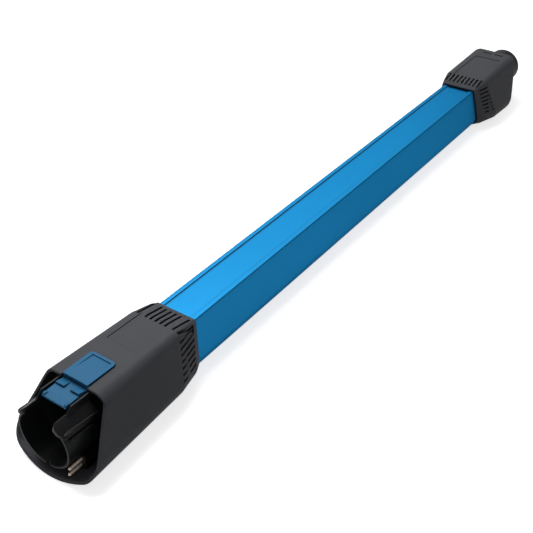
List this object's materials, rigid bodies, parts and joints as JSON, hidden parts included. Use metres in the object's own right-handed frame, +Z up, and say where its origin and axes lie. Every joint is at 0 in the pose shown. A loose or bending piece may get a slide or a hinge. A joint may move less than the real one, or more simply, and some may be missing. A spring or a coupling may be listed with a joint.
{
  "type": "vacuum cleaner extension wand",
  "caption": "Straight extension wand for a vacuum cleaner: splayed aluminium tube between raked plastic cuffs, a round spigot at one end and a latched round socket with contacts at the other",
  "frame": {"origin": "On the floor under the middle of the wand's overall length and width, as it lies at rest with the latch upward", "axes": "+Y runs along the wand from the socket end to the spigot end, +Z is up through the flat top of the tube, +X completes the right-handed frame and points to the side of the contact pins"},
  "size_m": [0.0688, 0.6874, 0.0538],
  "materials": {
    "blue_anodised_aluminium": "satin blue anodised extrusion",
    "charcoal_plastic": "fine matte moulded charcoal plastic",
    "black_plastic": "plain moulded black plastic",
    "blue_plastic": "matte moulded blue plastic",
    "steel": "bright zinc-plated steel",
    "spring_steel": "plain spring steel strip",
    "nickel_plate": "nickel-plated turned brass",
    "tinned_brass": "tinned brass crimp",
    "sealing_rubber": "soft black rubber",
    "brown_insulation": "smooth brown wire insulation",
    "blue_insulation": "smooth blue wire insulation"
  },
  "bodies": {
    "wand": {"tube_extrusion": "blue_anodised_aluminium", "handle_end_cuff": "charcoal_plastic", "socket_collar": "black_plastic", "latch_pivot_pin": "steel", "latch_spring": "spring_steel", "pin_block": "black_plastic", "contact_pins": "nickel_plate", "head_end_cuff": "charcoal_plastic", "head_end_spigot": "black_plastic", "contact_socket_block": "black_plastic", "contact_sleeves": "nickel_plate", "live_lead": "brown_insulation", "return_lead": "blue_insulation", "handle_end_gasket": "sealing_rubber", "head_end_gasket": "sealing_rubber", "handle_end_screws": "steel", "head_end_screws": "steel", "handle_end_grommet": "sealing_rubber", "head_end_grommet": "sealing_rubber", "handle_end_terminals": "tinned_brass", "head_end_terminals": "tinned_brass"},
    "latch": {"release_latch": "blue_plastic"}
  },
  "joints": [
    {"name": "latch_hinge", "type": "hinge", "parent": "wand", "child": "latch", "pos_m": [0, -0.26976, 0.04525], "axis": [1, 0, 0], "range_deg": [0, 2], "stiffness_Nm_per_rad": 0.6, "springref_deg": -11.46, "deforming": ["latch_spring"]}
  ]
}
